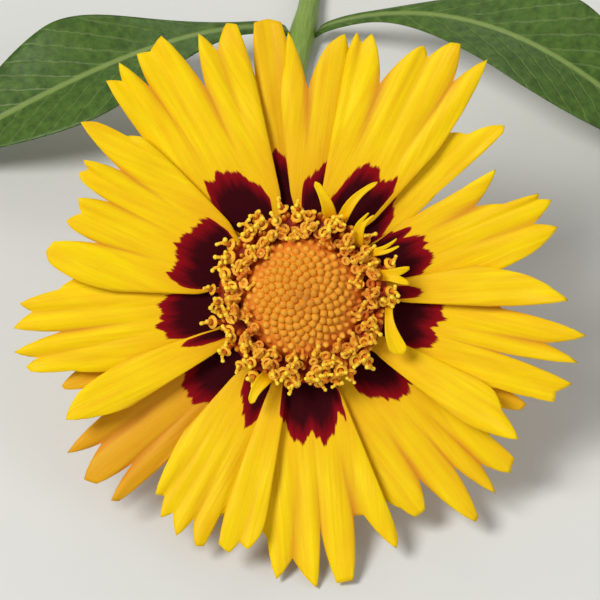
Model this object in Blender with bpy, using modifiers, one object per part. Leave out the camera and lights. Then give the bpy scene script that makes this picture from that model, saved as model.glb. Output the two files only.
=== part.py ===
"""A coreopsis flower as picked: one head on its stem with a pair of leaves, lying on a surface.

The head is modelled face up in its own frame, with X to the right and Y up as the face is seen and Z out
of the face. An empty then tilts it back, so it rests on its lowest ray tips. The stem bends down from the
head and lies on the surface, and a pair of leaves arches from its node and touches down at the tips.
"""

import math
import random

import bmesh
import bpy
from mathutils import Vector
from mathutils.geometry import delaunay_2d_cdt

# Sizes are in millimetres, and MM turns them into metres as each mesh is made.
MM = 0.001
GAP = 0.3
BLADE = 0.6

# The head: its centre above the surface, and how far its face looks up from the horizon.
HEAD_Y = -31.53
HEAD_HEIGHT = 18.15
FACE_ELEVATION = 50.0

# The receptacle carries the rays in three layers round its core, and the disc on top.
CORE_RADIUS = 7.6
CORE_TOP = 2.7
CUP_BOTTOM = -7.6
CUP_LOBES = 8
CUP_LOBE_REACH = 12.0
CUP_SECTIONS = 48

# The rays: a claw at the core that widens to the blade's full span.
LAYER_PITCH = 0.97
LAYER_OPENING = 0.03
RAY_RISE = 0.03
RAY_ROOT = CORE_RADIUS + GAP
RAY_FULL = 11.5
CLAW_SHARE = 0.62
TIP_DROOP = 0.0035
TIP_DROOP_FROM = 15.0
CROSS_ARCH = 0.005
PLEAT = 0.22
TOOTH_HALF_WIDTH = 0.35
TOOTH_SHARE = 0.4
RAY_ROWS = (0.0, 0.09, 0.24, 0.58, 1.0)

# The disc: buds on a dome, and a ring of open florets round it.
DISC_RADIUS = 6.6
DISC_BASE = CORE_TOP + GAP
DISC_HEIGHT = 4.2
DISC_EDGE = 0.7
BUD_PITCH = 1.0
BUD_DEPTH = 0.42
GOLDEN_ANGLE = math.pi * (3.0 - math.sqrt(5.0))
RING_INNER = DISC_RADIUS + GAP
RING_OUTER = 8.9
RING_TOP = DISC_BASE + 0.9
# Each row of open florets: how many, foot radius, head radius, head height, mouth radius.
FLORET_ROWS = (
    (19, 7.5, 8.0, 6.7, 0.55),
    (23, 8.0, 9.6, 5.6, 0.62),
)
FLORET_SIDES = 5
SEED = 7

# Small straps among the open florets: root bearing and reach, tip bearing and reach, width, rise at the tip.
STRAPS = (
    (67.5, 8.3, 84.0, 12.0, 1.0, 2.6),
    (65.5, 8.2, 57.3, 14.0, 1.2, 2.2),
    (44.0, 8.2, 49.5, 11.7, 1.0, 2.6),
    (27.5, 8.2, 30.0, 11.8, 1.2, 2.2),
    (17.0, 8.2, 11.5, 11.6, 1.7, 1.8),
    (353.0, 8.4, 330.5, 11.8, 1.7, 2.0),
    (246.0, 8.2, 243.5, 12.2, 1.3, 2.2),
)

# Green bracts outside the cup, on a collar round the top of the stem.
BRACTS = 8
BRACT_WIDTH = 2.2
BRACT_TIP = 11.0

# The stem: from under the cup down in one bend, then along the surface.
STEM_RADIUS = 1.2
STEM_TOP_RADIUS = 1.05
STEM_BEND = 22.0
STEM_END = 88.0
STEM_SWAY = 1.6
NODE_AT = 54.0
NODE_SWELL = 0.35
STEM_SIDES_RESOLUTION = 2

# The leaves, each as its place beside the node, its tip on the surface, its width and its arch.
LEAF_WIDTH = 13.4
LEAF_THICKNESS = 0.65
LEAF_TIP_HEIGHT = 0.3
LEAF_COLUMNS = 6
LEAF_ROWS = 18
LEAVES = (
    ("leaf_right", 1, (47.0, 29.5), 8.6, 3.2, 0.0),
    ("leaf_left", -1, (47.0, 32.0), 7.6, -1.8, 1.3),
)

# Every ray: its layer from the lowest, and its outline from its left edge to its right.
# Bearings are degrees counter-clockwise from the right of the face, reaches are from its middle.
RAYS = (
    (1, ((34.6, 20.5), (33.8, 24.4), (28.0, 20.5), (25.1, 23.3), (23.9, 27.1), (21.5, 28.1),
         (17.8, 25.5), (15.6, 27.8), (12.2, 25.6), (9.4, 22.5), (7.0, 19.0))),
    (2, ((10.8, 18.4), (8.6, 20.6), (4.6, 24.6), (1.8, 26.4), (-0.6, 27.8), (-2.6, 19.4))),
    (1, ((2.0, 18.0), (-3.0, 21.0), (-7.6, 30.1), (-10.6, 25.9), (-13.3, 29.8), (-15.6, 21.2),
         (-17.6, 29.7), (-20.3, 28.4), (-22.5, 28.6), (-23.6, 26.0), (-25.0, 22.4), (-27.5, 19.0))),
    (0, ((-21.5, 20.0), (-24.4, 24.2), (-25.4, 26.1), (-27.1, 25.9), (-29.3, 23.6), (-31.0, 21.0))),
    (2, ((-24.6, 20.2), (-26.0, 22.4), (-29.5, 24.0), (-33.3, 27.0), (-36.4, 23.6), (-38.0, 20.6))),
    (0, ((-33.0, 21.5), (-36.4, 24.5), (-37.3, 28.2), (-40.3, 28.6), (-43.1, 25.6), (-45.4, 29.0),
         (-48.2, 23.8), (-51.8, 29.8), (-57.3, 22.6), (-60.0, 25.8), (-62.8, 26.0), (-65.0, 24.5),
         (-70.0, 21.5))),
    (1, ((-67.9, 25.0), (-69.5, 28.1), (-74.4, 23.7), (-76.9, 23.5), (-79.9, 30.1), (-83.2, 30.2),
         (-85.7, 24.5), (-87.2, 30.5), (-92.3, 27.4), (-95.4, 29.7), (-98.5, 25.6), (-103.0, 22.0))),
    (2, ((-99.4, 23.0), (-102.4, 27.0), (-104.6, 26.4), (-106.2, 27.8), (-109.0, 27.2), (-110.6, 21.0))),
    (1, ((-106.0, 21.0), (-110.9, 24.6), (-111.8, 28.1), (-113.5, 28.4), (-116.3, 25.9),
         (-118.0, 28.3), (-121.2, 26.4), (-123.0, 27.5), (-125.0, 25.4), (-127.0, 25.8),
         (-130.0, 21.6), (-131.8, 18.8))),
    (0, ((-126.5, 17.0), (-129.6, 21.6), (-130.8, 25.3), (-132.2, 28.9), (-133.5, 29.4),
         (-135.9, 25.1), (-138.0, 29.3), (-140.4, 30.0), (-144.2, 26.2), (-146.7, 29.8),
         (-149.8, 24.3), (-153.0, 21.5))),
    (2, ((-147.8, 21.5), (-149.8, 24.6), (-152.8, 27.9), (-153.9, 27.5), (-157.2, 25.5),
         (-161.0, 19.4))),
    (0, ((-156.2, 21.6), (-157.7, 25.2), (-159.5, 27.1), (-162.6, 24.8), (-165.2, 21.5))),
    (1, ((-158.0, 20.0), (-162.5, 25.4), (-164.8, 29.6), (-166.0, 30.0), (-167.3, 28.6),
         (-169.4, 30.9), (-172.1, 25.7), (-174.0, 30.6), (-177.1, 28.5), (-178.9, 29.8),
         (-182.0, 25.7), (-188.0, 22.0))),
    (2, ((-182.0, 20.0), (-185.2, 24.6), (-188.0, 26.9), (-190.2, 27.4), (-192.8, 26.8),
         (-195.0, 22.3), (-198.1, 26.1), (-201.0, 24.9), (-204.0, 25.8), (-206.4, 22.7),
         (-207.8, 26.2), (-212.2, 27.2), (-215.0, 23.3), (-218.3, 29.7), (-220.4, 28.5),
         (-222.6, 25.1), (-224.9, 24.0), (-226.0, 19.0))),
    (1, ((-221.0, 21.0), (-225.1, 23.9), (-227.8, 30.8), (-230.2, 29.7), (-232.0, 31.4),
         (-234.0, 27.4), (-235.7, 31.0), (-238.2, 30.5), (-241.6, 31.3), (-245.2, 24.4),
         (-248.4, 29.9), (-250.9, 27.5), (-254.4, 30.0), (-256.4, 29.6), (-257.8, 23.4))),
    (0, ((-249.5, 19.0), (-257.5, 22.8), (-259.9, 29.5), (-265.5, 29.2), (-267.2, 24.0),
         (-270.0, 21.0))),
    (1, ((-263.2, 20.5), (-265.7, 25.0), (-266.8, 28.0), (-271.3, 22.0), (-275.7, 26.8),
         (-279.0, 28.1), (-282.4, 23.6), (-290.0, 21.4))),
    (2, ((-280.0, 25.6), (-281.4, 28.4), (-283.0, 27.4), (-284.6, 28.6), (-289.7, 23.9),
         (-295.2, 29.2), (-297.4, 28.4), (-301.4, 31.2), (-304.8, 27.6), (-307.7, 31.6),
         (-310.2, 26.8), (-312.6, 20.5))),
    (1, ((-304.0, 20.4), (-311.4, 23.2), (-315.1, 24.4), (-317.7, 27.0), (-319.5, 27.9),
         (-321.2, 23.0), (-323.8, 14.5))),
)

# Colours and roughness of each piece.
YELLOW = (0.93, 0.62, 0.01)
FLORET_YELLOW = (0.86, 0.50, 0.03)
BUD_ORANGE = (0.65, 0.24, 0.03)
LEAF_GREEN = (0.09, 0.17, 0.05)
STEM_GREEN = (0.20, 0.30, 0.09)
CUP_GREEN = (0.36, 0.38, 0.08)


def clear_scene():
    for thing in list(bpy.data.objects):
        bpy.data.objects.remove(thing, do_unlink=True)


def new_collection(name):
    made = bpy.data.collections.new(name)
    bpy.context.scene.collection.children.link(made)
    return made


def new_material(name, colour, roughness):
    made = bpy.data.materials.new(name)
    made.use_nodes = True
    shader = made.node_tree.nodes["Principled BSDF"]
    shader.inputs["Base Color"].default_value = (*colour, 1.0)
    shader.inputs["Roughness"].default_value = roughness
    shader.inputs["Metallic"].default_value = 0.0
    made.diffuse_color = (*colour, 1.0)
    return made


def new_object(name, shape, collection, material=None, parent=None):
    """An object from a bmesh in millimetres."""
    bmesh.ops.scale(shape, vec=(MM, MM, MM), verts=shape.verts)
    mesh = bpy.data.meshes.new(name)
    shape.to_mesh(mesh)
    shape.free()
    made = bpy.data.objects.new(name, mesh)
    collection.objects.link(made)
    if material:
        mesh.materials.append(material)
    made.parent = parent
    return made


def apply_modifiers(thing):
    bpy.context.view_layer.update()
    evaluated = thing.evaluated_get(bpy.context.evaluated_depsgraph_get())
    mesh = bpy.data.meshes.new_from_object(evaluated)
    thing.modifiers.clear()
    thing.data = mesh


def thicken(thing, thickness):
    wall = thing.modifiers.new("thickness", "SOLIDIFY")
    wall.thickness = thickness * MM
    wall.offset = 0.0
    wall.use_even_offset = True


def join_by_union(thing, pieces):
    """Fuses loose pieces into one body and removes them."""
    group = new_collection(thing.name + "_pieces")
    for piece in pieces:
        for holder in list(piece.users_collection):
            holder.objects.unlink(piece)
        group.objects.link(piece)
    union = thing.modifiers.new("union", "BOOLEAN")
    union.operation = "UNION"
    union.operand_type = "COLLECTION"
    union.collection = group
    union.solver = "EXACT"
    apply_modifiers(thing)
    for piece in pieces:
        bpy.data.objects.remove(piece, do_unlink=True)
    bpy.data.collections.remove(group)


def smooth_step(low, high, value):
    t = min(1.0, max(0.0, (value - low) / (high - low)))
    return t * t * (3.0 - 2.0 * t)


def polar(reach, bearing, height):
    angle = math.radians(bearing)
    return Vector((reach * math.cos(angle), reach * math.sin(angle), height))


def blade_grid(columns, rows, place):
    """A sheet of triangles: place(column, row) gives each grid point."""
    shape = bmesh.new()
    bmesh.ops.create_grid(shape, x_segments=columns - 1, y_segments=rows - 1, size=1.0)
    shape.verts.ensure_lookup_table()
    for index, vertex in enumerate(shape.verts):
        row, column = divmod(index, columns)
        vertex.co = place(column, row)
    bmesh.ops.triangulate(shape, faces=shape.faces)
    bmesh.ops.recalc_face_normals(shape, faces=shape.faces)
    return shape


def ray_height(layer, reach, sideways):
    """The middle of a blade's thickness: layers open outwards, and tips and edges droop a little."""
    out = reach - RAY_ROOT
    droop = TIP_DROOP * max(0.0, reach - TIP_DROOP_FROM) ** 2
    height = BLADE / 2 + LAYER_PITCH * layer + (RAY_RISE + LAYER_OPENING * layer) * out
    return height - droop * (1.0 - 0.35 * layer) - CROSS_ARCH * sideways * sideways


def ray_columns(outline):
    """The blade's columns, with each tooth given a short blunt end."""
    columns = [outline[0]]
    for before, (bearing, reach), after in zip(outline, outline[1:], outline[2:]):
        if reach > before[1] and reach > after[1]:
            blunt = math.degrees(TOOTH_HALF_WIDTH / reach)
            columns.append((bearing + min(blunt, TOOTH_SHARE * (before[0] - bearing)), reach))
            columns.append((bearing - min(blunt, TOOTH_SHARE * (bearing - after[0])), reach))
        else:
            columns.append((bearing, reach))
    columns.append(outline[-1])
    return columns


def build_ray(number, ray, collection, material, parent):
    layer, outline = ray
    columns = ray_columns(outline)
    middle = (outline[0][0] + outline[-1][0]) / 2
    highest = max(reach for _, reach in outline)

    def place(column, row):
        bearing, tip = columns[column]
        reach = RAY_ROOT + (tip - RAY_ROOT) * RAY_ROWS[row]
        spread = CLAW_SHARE + (1.0 - CLAW_SHARE) * smooth_step(RAY_ROOT, RAY_FULL, reach)
        bearing = middle + (bearing - middle) * spread
        sideways = reach * math.radians(bearing - middle)
        fold = PLEAT * smooth_step(RAY_FULL, highest, reach) * (1 if tip > highest - 2.5 else -1)
        return polar(reach, bearing, ray_height(layer, reach, sideways) + fold / 2)

    shape = blade_grid(len(columns), len(RAY_ROWS), place)
    ray_object = new_object(f"ray_{number:02d}", shape, collection, material, parent)
    thicken(ray_object, BLADE)
    return ray_object


def cup_profile():
    """Reach and height down the outside of the cup, from its shelf to the stem."""
    return ((CUP_LOBE_REACH, 0.05), (10.2, -0.25), (8.9, -1.0), (7.7, -2.3), (6.2, -4.2),
            (4.3, -5.9), (2.4, -7.0), (1.6, CUP_BOTTOM))


def build_cup(collection, material, parent):
    """The receptacle with its inner bracts: a cup whose rim runs out in eight pointed lobes."""
    outside = cup_profile()
    points = [(0.0, CORE_TOP), (CORE_RADIUS, CORE_TOP), (CORE_RADIUS, -GAP), *outside, (0.0, CUP_BOTTOM)]
    shape = bmesh.new()
    verts = [shape.verts.new((reach, 0.0, height)) for reach, height in points]
    for low, high in zip(verts, verts[1:]):
        shape.edges.new((low, high))
    bmesh.ops.spin(shape, geom=shape.verts[:] + shape.edges[:], cent=(0, 0, 0), axis=(0, 0, 1),
                   angle=math.tau, steps=CUP_SECTIONS, use_merge=True)
    bmesh.ops.remove_doubles(shape, verts=shape.verts, dist=0.001)
    rim, shoulder = outside[0][0], outside[2][0]
    for vertex in shape.verts:
        reach = math.hypot(vertex.co.x, vertex.co.y)
        if vertex.co.z < 0.1 and reach > outside[3][0] - 0.1:
            around = math.atan2(vertex.co.y, vertex.co.x) * CUP_LOBES / math.tau
            off_tip = 2.0 * abs((around % 1.0) - 0.5)
            outer = (reach - outside[3][0]) / (rim - outside[3][0])
            pull = 1.0 - outer * (1.0 - shoulder / rim) * off_tip ** 1.6
            vertex.co.x *= pull
            vertex.co.y *= pull
            vertex.co.z -= 0.5 * outer
    bmesh.ops.triangulate(shape, faces=shape.faces)
    bmesh.ops.recalc_face_normals(shape, faces=shape.faces)
    return new_object("receptacle_cup", shape, collection, material, parent)


def build_bracts(collection, material, parent):
    """Narrow bracts that spread below the cup, fused to a collar round the top of the stem."""
    path = ((1.9, -8.35), (4.4, -7.7), (6.6, -6.0), (8.4, -3.9), (9.9, -2.7), (BRACT_TIP, -2.4))
    widths = (1.5, 1.8, BRACT_WIDTH, BRACT_WIDTH, 1.5, 0.5)

    def bract(bearing):
        def place(column, row):
            reach, height = path[row]
            side = (column - 1) * widths[row] / 2
            fold = 0.12 * widths[row] * abs(column - 1)
            centre = polar(reach, bearing, height + fold)
            across = polar(side, bearing + 90.0, 0.0)
            return centre + across
        return blade_grid(3, len(path), place)

    collar_shape = bmesh.new()
    profile = ((1.5, -8.8), (2.6, -8.8), (2.9, -8.4), (2.6, -7.95), (1.5, -7.95))
    verts = [collar_shape.verts.new((reach, 0.0, height)) for reach, height in profile]
    for low, high in zip(verts, verts[1:] + verts[:1]):
        collar_shape.edges.new((low, high))
    bmesh.ops.spin(collar_shape, geom=collar_shape.verts[:] + collar_shape.edges[:], cent=(0, 0, 0),
                   axis=(0, 0, 1), angle=math.tau, steps=24, use_merge=True)
    bmesh.ops.recalc_face_normals(collar_shape, faces=collar_shape.faces)
    collar = new_object("outer_bracts", collar_shape, collection, material, parent)
    pieces = []
    for index in range(BRACTS):
        bearing = 22.5 + index * 360.0 / BRACTS
        piece = new_object(f"bract_{index}", bract(bearing), collection, material, parent)
        thicken(piece, BLADE)
        apply_modifiers(piece)
        pieces.append(piece)
    join_by_union(collar, pieces)
    return collar


def dome_height(reach):
    """An oval cap that meets the ring at a slope."""
    across = reach / (DISC_RADIUS * 1.15)
    rim = math.sqrt(1.0 - 1.0 / 1.15 ** 2)
    return DISC_BASE + DISC_EDGE + DISC_HEIGHT * (math.sqrt(1.0 - across * across) - rim) / (1.0 - rim)


def build_buds(collection, material, parent):
    """The closed florets: a dome with one small peak for each bud, in spirals."""
    step = BUD_PITCH * math.sqrt(math.sqrt(3.0) / math.tau)
    buds = []
    while True:
        reach = step * math.sqrt(len(buds) + 0.5)
        if reach > DISC_RADIUS - 0.45 * BUD_PITCH:
            break
        turn = len(buds) * GOLDEN_ANGLE
        buds.append(Vector((reach * math.cos(turn), reach * math.sin(turn))))
    rim_count = 2 * round(math.pi * DISC_RADIUS / BUD_PITCH)
    rim = [Vector((DISC_RADIUS * math.cos(math.tau * i / rim_count),
                   DISC_RADIUS * math.sin(math.tau * i / rim_count))) for i in range(rim_count)]
    points, _, faces, *_ = delaunay_2d_cdt(buds + rim, [], [], 0, 1e-6)
    shape = bmesh.new()
    verts = [shape.verts.new((point.x, point.y, 0.0)) for point in points]
    for face in faces:
        shape.faces.new([verts[i] for i in face])
    bmesh.ops.subdivide_edges(shape, edges=shape.edges[:], cuts=1, use_grid_fill=True)
    for vertex in shape.verts:
        plan = vertex.co.to_2d()
        off_bud = min((plan - bud).length for bud in buds) / (BUD_PITCH / 2)
        vertex.co.z = dome_height(min(plan.length, DISC_RADIUS)) - BUD_DEPTH * min(1.0, off_bud)
    rim_edges = [edge for edge in shape.edges if edge.is_boundary]
    skirt = bmesh.ops.extrude_edge_only(shape, edges=rim_edges)["geom"]
    foot = [vertex for vertex in skirt if isinstance(vertex, bmesh.types.BMVert)]
    for vertex in foot:
        vertex.co.z = DISC_BASE
    bmesh.ops.contextual_create(shape, geom=[e for e in skirt if isinstance(e, bmesh.types.BMEdge)])
    bmesh.ops.triangulate(shape, faces=shape.faces)
    bmesh.ops.recalc_face_normals(shape, faces=shape.faces)
    return new_object("disc_buds", shape, collection, material, parent)


def tapered_tube(foot, head, foot_radius, head_radius):
    """A closed tapered prism from foot to head."""
    shape = bmesh.new()
    along = head - foot
    bmesh.ops.create_cone(shape, cap_ends=True, segments=FLORET_SIDES, radius1=foot_radius,
                          radius2=head_radius, depth=along.length)
    turn = Vector((0, 0, 1)).rotation_difference(along)
    bmesh.ops.rotate(shape, cent=(0, 0, 0), matrix=turn.to_matrix(), verts=shape.verts)
    bmesh.ops.translate(shape, vec=(foot + head) / 2, verts=shape.verts)
    return shape


def build_open_florets(collection, material, parent):
    """A low ring with rows of open florets that lean out, and the small straps among them."""
    ring_shape = bmesh.new()
    profile = ((RING_INNER, DISC_BASE), (RING_OUTER - 0.5, DISC_BASE), (RING_OUTER, DISC_BASE + 0.4),
               (RING_OUTER - 0.4, RING_TOP), (RING_INNER, RING_TOP))
    verts = [ring_shape.verts.new((reach, 0.0, height)) for reach, height in profile]
    for low, high in zip(verts, verts[1:] + verts[:1]):
        ring_shape.edges.new((low, high))
    bmesh.ops.spin(ring_shape, geom=ring_shape.verts[:] + ring_shape.edges[:], cent=(0, 0, 0),
                   axis=(0, 0, 1), angle=math.tau, steps=36, use_merge=True)
    bmesh.ops.recalc_face_normals(ring_shape, faces=ring_shape.faces)
    ring = new_object("disc_open_florets", ring_shape, collection, material, parent)
    draw = random.Random(SEED)
    pieces = []
    for row, (count, foot_reach, head_reach, head_height, mouth) in enumerate(FLORET_ROWS):
        for index in range(count):
            bearing = 360.0 * (index + 0.5 * row + draw.uniform(-0.12, 0.12)) / count
            lift = draw.uniform(-0.35, 0.35)
            foot = polar(foot_reach, bearing, RING_TOP - 0.55)
            head = polar(head_reach + lift, bearing, head_height + lift)
            tube = tapered_tube(foot, head, 0.42, mouth)
            pieces.append(new_object(f"floret_{row}_{index}", tube, collection, material, parent))
    for index, strap in enumerate(STRAPS):
        piece = new_object(f"strap_{index}", strap_shape(strap), collection, material, parent)
        thicken(piece, BLADE)
        apply_modifiers(piece)
        pieces.append(piece)
    join_by_union(ring, pieces)
    return ring


def strap_shape(strap):
    """A short tongue that rises out of the ring and bends to its tip."""
    root_bearing, root_reach, tip_bearing, tip_reach, width, rise = strap
    root = polar(root_reach, root_bearing, RING_TOP - 0.45)
    tip = polar(tip_reach, tip_bearing, RING_TOP + rise)
    across = (tip - root).cross(Vector((0, 0, 1))).normalized()
    widths = (0.7, 0.9, 1.0, 0.8, 0.3)

    def place(column, row):
        share = row / (len(widths) - 1)
        lift = Vector((0, 0, 1.1 * math.sin(math.pi * share ** 0.7)))
        return root.lerp(tip, share) + lift + across * (column - 1) * width / 2 * widths[row]

    return blade_grid(3, len(widths), place)


def head_point(height):
    """A point on the head's axis, in the part's own frame."""
    up = math.radians(FACE_ELEVATION)
    return Vector((0.0, HEAD_Y - height * math.cos(up), HEAD_HEIGHT + height * math.sin(up)))


def node_swell(y):
    """How much thicker the stem is beside the node."""
    return NODE_SWELL * math.exp(-((y - HEAD_Y - NODE_AT) / 3.0) ** 2)


def stem_path():
    """The stem's middle line: straight down the head's axis, one bend, then along the surface."""
    top = head_point(CUP_BOTTOM - GAP)
    up = math.radians(FACE_ELEVATION)
    drop = top.z - STEM_RADIUS
    straight = (drop - STEM_BEND * (1.0 - math.cos(up))) / math.sin(up)
    down = Vector((0.0, math.cos(up), -math.sin(up)))
    points = [top, top + down * straight * 0.5]
    start = top + down * straight
    bend_steps = 8
    for index in range(bend_steps + 1):
        turned = up * index / bend_steps
        along = STEM_BEND * (math.sin(up) - math.sin(up - turned))
        fall = STEM_BEND * (math.cos(up - turned) - math.cos(up))
        points.append(start + Vector((0.0, along, -fall)))
    lying_from = points[-1].y
    run_end = HEAD_Y + STEM_END
    lying_steps = 12
    for index in range(1, lying_steps + 1):
        y = lying_from + (run_end - lying_from) * index / lying_steps
        sway = STEM_SWAY * math.sin(math.pi * index / lying_steps) ** 2
        bend = math.sin(math.tau * (y - HEAD_Y - NODE_AT) / (run_end - lying_from))
        points.append(Vector((sway * bend, y, STEM_RADIUS + node_swell(y))))
    return points


def build_stem(collection, material):
    points = stem_path()
    curve = bpy.data.curves.new("stem", "CURVE")
    curve.dimensions = "3D"
    curve.bevel_depth = STEM_RADIUS * MM
    curve.bevel_resolution = STEM_SIDES_RESOLUTION
    curve.use_fill_caps = True
    curve.materials.append(material)
    spline = curve.splines.new("POLY")
    spline.points.add(len(points) - 1)
    for index, (point, place) in enumerate(zip(spline.points, points)):
        share = index / (len(points) - 1)
        thin = STEM_TOP_RADIUS / STEM_RADIUS
        point.co = (*(place * MM), 1.0)
        point.radius = thin + (1.0 - thin) * smooth_step(0.0, 0.5, share) + node_swell(place.y) / STEM_RADIUS
    made = bpy.data.objects.new("stem", curve)
    collection.objects.link(made)
    return made


def build_leaf(leaf, collection, material):
    """A lance-shaped blade on a short stalk, folded along its midrib and arched down to its tip."""
    name, side, (tip_x, tip_y), arch, bow, phase = leaf
    root = Vector((side * (STEM_RADIUS + NODE_SWELL + GAP), HEAD_Y + NODE_AT, 1.6))
    tip = Vector((side * tip_x, HEAD_Y + tip_y, LEAF_TIP_HEIGHT))
    flat = Vector((tip.x - root.x, tip.y - root.y, 0.0))
    sideways = Vector((-flat.y, flat.x, 0.0)).normalized() * side

    def place(column, row):
        share = row / (LEAF_ROWS - 1)
        wide = smooth_step(0.10, 0.56, share) * (1.0 - smooth_step(0.50, 1.0, share) ** 1.25)
        half = 1.1 * (1.0 - share) + LEAF_WIDTH / 2 * wide + 0.25 * share
        across = 2.0 * column / (LEAF_COLUMNS - 1) - 1.0
        centre = root.lerp(tip, share)
        centre.z += arch * math.sin(math.pi * share ** 0.8)
        centre += sideways * bow * math.sin(math.pi * share)
        fold = 0.26 * half * abs(across) ** 1.4 * wide
        wave = 0.5 * wide * across * abs(across) * math.sin(11.0 * share + phase + 1.2 * (across > 0))
        return centre + sideways * half * across + Vector((0.0, 0.0, fold + wave))

    shape = blade_grid(LEAF_COLUMNS, LEAF_ROWS, place)
    leaf_object = new_object(name, shape, collection, material)
    thicken(leaf_object, LEAF_THICKNESS)
    return leaf_object


def main():
    clear_scene()
    parts = new_collection("coreopsis")
    yellow = new_material("ray_yellow", YELLOW, 0.55)
    floret_yellow = new_material("floret_yellow", FLORET_YELLOW, 0.6)
    orange = new_material("bud_orange", BUD_ORANGE, 0.6)
    leaf_green = new_material("leaf_green", LEAF_GREEN, 0.5)
    stem_green = new_material("stem_green", STEM_GREEN, 0.5)
    cup_green = new_material("cup_green", CUP_GREEN, 0.55)

    head = bpy.data.objects.new("head", None)
    parts.objects.link(head)
    head.location = head_point(0.0) * MM
    head.rotation_euler = (math.radians(90.0 - FACE_ELEVATION), 0.0, 0.0)

    for number, ray in enumerate(RAYS, start=1):
        build_ray(number, ray, parts, yellow, head)
    build_cup(parts, cup_green, head)
    build_bracts(parts, leaf_green, head)
    build_buds(parts, orange, head)
    build_open_florets(parts, floret_yellow, head)
    build_stem(parts, stem_green)
    for leaf in LEAVES:
        build_leaf(leaf, parts, leaf_green)


main()
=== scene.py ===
# %% [markdown]
# A coreopsis flower, dressed for the camera.
#
# The solid model gives every ray, leaf and bract its place. Here each of them gets a finer skin: rays with
# rounded teeth, pleats and a maroon blotch, a disc of beads and small open florets, and leaves with veins.
# Everything is measured in millimetres, as one measures a flower, and turned into metres at the end.

# %% Load the frame
import random
from math import atan2, cos, degrees, exp, hypot, pi, radians, sin, sqrt, tau

import bmesh
import bpy
from mathutils import Matrix, Vector


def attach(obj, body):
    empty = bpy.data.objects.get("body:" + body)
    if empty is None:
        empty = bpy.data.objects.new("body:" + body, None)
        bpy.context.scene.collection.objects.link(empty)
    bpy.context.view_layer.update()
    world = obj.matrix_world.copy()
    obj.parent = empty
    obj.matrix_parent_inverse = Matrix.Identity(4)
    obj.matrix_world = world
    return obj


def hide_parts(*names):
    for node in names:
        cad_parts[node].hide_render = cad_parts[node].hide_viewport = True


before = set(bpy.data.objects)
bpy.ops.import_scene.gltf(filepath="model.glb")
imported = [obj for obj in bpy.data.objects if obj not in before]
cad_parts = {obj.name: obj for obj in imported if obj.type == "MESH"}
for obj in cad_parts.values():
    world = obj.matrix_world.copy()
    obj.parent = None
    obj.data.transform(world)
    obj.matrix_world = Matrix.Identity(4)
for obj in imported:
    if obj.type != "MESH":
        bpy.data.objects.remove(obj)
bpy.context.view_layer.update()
MM = 0.001
BODY = "root"

# %% [markdown]
# The flower head is a disc of its own, tilted back by forty degrees. It is easiest to shape it lying flat,
# with X to the right, Y up as one looks at its face, and Z out of the face. One matrix then tilts it into
# place. The stem and the leaves lie on the surface and are shaped where they are.

# %% The head's own frame
HEAD_Y = -31.53
HEAD_HEIGHT = 18.15
FACE_ELEVATION = 50
TILT = radians(90 - FACE_ELEVATION)
FLAT = Matrix.Scale(MM, 4)
HEAD = FLAT @ Matrix.Translation((0, HEAD_Y, HEAD_HEIGHT)) @ Matrix.Rotation(TILT, 4, "X")
face_normal = (HEAD.to_3x3() @ Vector((0, 0, 1))).normalized()
print("the face looks along", [round(value, 3) for value in face_normal])

# %% [markdown]
# A few helpers come before the pieces. A material is a small tree of nodes. One function adds a node, sets
# its own values and fills its inputs: with a number, with a colour, or with a link from another node. Colours
# are written as sRGB hex values, as a colour picker shows them, and Blender wants them linear.
#
# Every piece carries a measure named pattern. Its three numbers say where on the piece a point lies, so that
# colours, veins and blotches can follow the piece. Most colours here change step by step: one colour turns
# into another as such a number rises, and that step is a helper of its own.


# %% Helpers for materials
def linear(hex_colour):
    """An sRGB hex colour as linear red, green, blue and alpha."""
    values = [int(hex_colour[i:i + 2], 16) / 255 for i in (1, 3, 5)]
    return [v / 12.92 if v <= 0.04045 else ((v + 0.055) / 1.055) ** 2.4 for v in values] + [1]


def fill(node, inputs):
    """Fills a node's inputs. Each takes a number, a hex colour, or an output of another node."""
    for name, value in inputs.items():
        if isinstance(value, bpy.types.NodeSocket):
            node.id_data.links.new(value, node.inputs[name])
        else:
            node.inputs[name].default_value = linear(value) if isinstance(value, str) else value


def add_node(shader, kind, inputs, output=0, **settings):
    """Adds a node to the shader's tree and returns one of its outputs."""
    made = shader.id_data.nodes.new("ShaderNode" + kind)
    for name, value in settings.items():
        setattr(made, name, value)
    fill(made, inputs)
    return made.outputs[output]


def new_material(name, inputs):
    """A material and its Principled shader, whose constant sockets are set directly."""
    material = bpy.data.materials.new(name)
    material.use_nodes = True
    shader = material.node_tree.nodes["Principled BSDF"]
    fill(shader, inputs)
    return material, shader


def read_pattern(shader):
    """The pattern measure as one vector, and its three numbers apart."""
    pattern = add_node(shader, "Attribute", {}, "Vector", attribute_name="pattern")
    return pattern, *add_node(shader, "SeparateXYZ", {0: pattern}).node.outputs


def tint(shader, colour, other, value, low=None, high=None, most=1, **settings):
    """Turns a colour into another one as a value goes from low to high, or by the value itself."""
    if low is not None:
        ends = {"Value": value, "From Min": low, "From Max": high, "To Max": most}
        value = add_node(shader, "MapRange", ends, **settings)
    return add_node(shader, "Mix", {0: value, 6: colour, 7: other}, 2, data_type="RGBA")


def drawn_out_noise(shader, pattern, scales, detail=2, roughness=0.5):
    """Noise that is squeezed or drawn out along each number of the pattern."""
    scaled = add_node(shader, "VectorMath", {0: pattern, 1: scales}, operation="MULTIPLY")
    return add_node(shader, "TexNoise",
                    {"Vector": scaled, "Scale": 1, "Detail": detail, "Roughness": roughness})


print("helpers for materials are ready")

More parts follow.
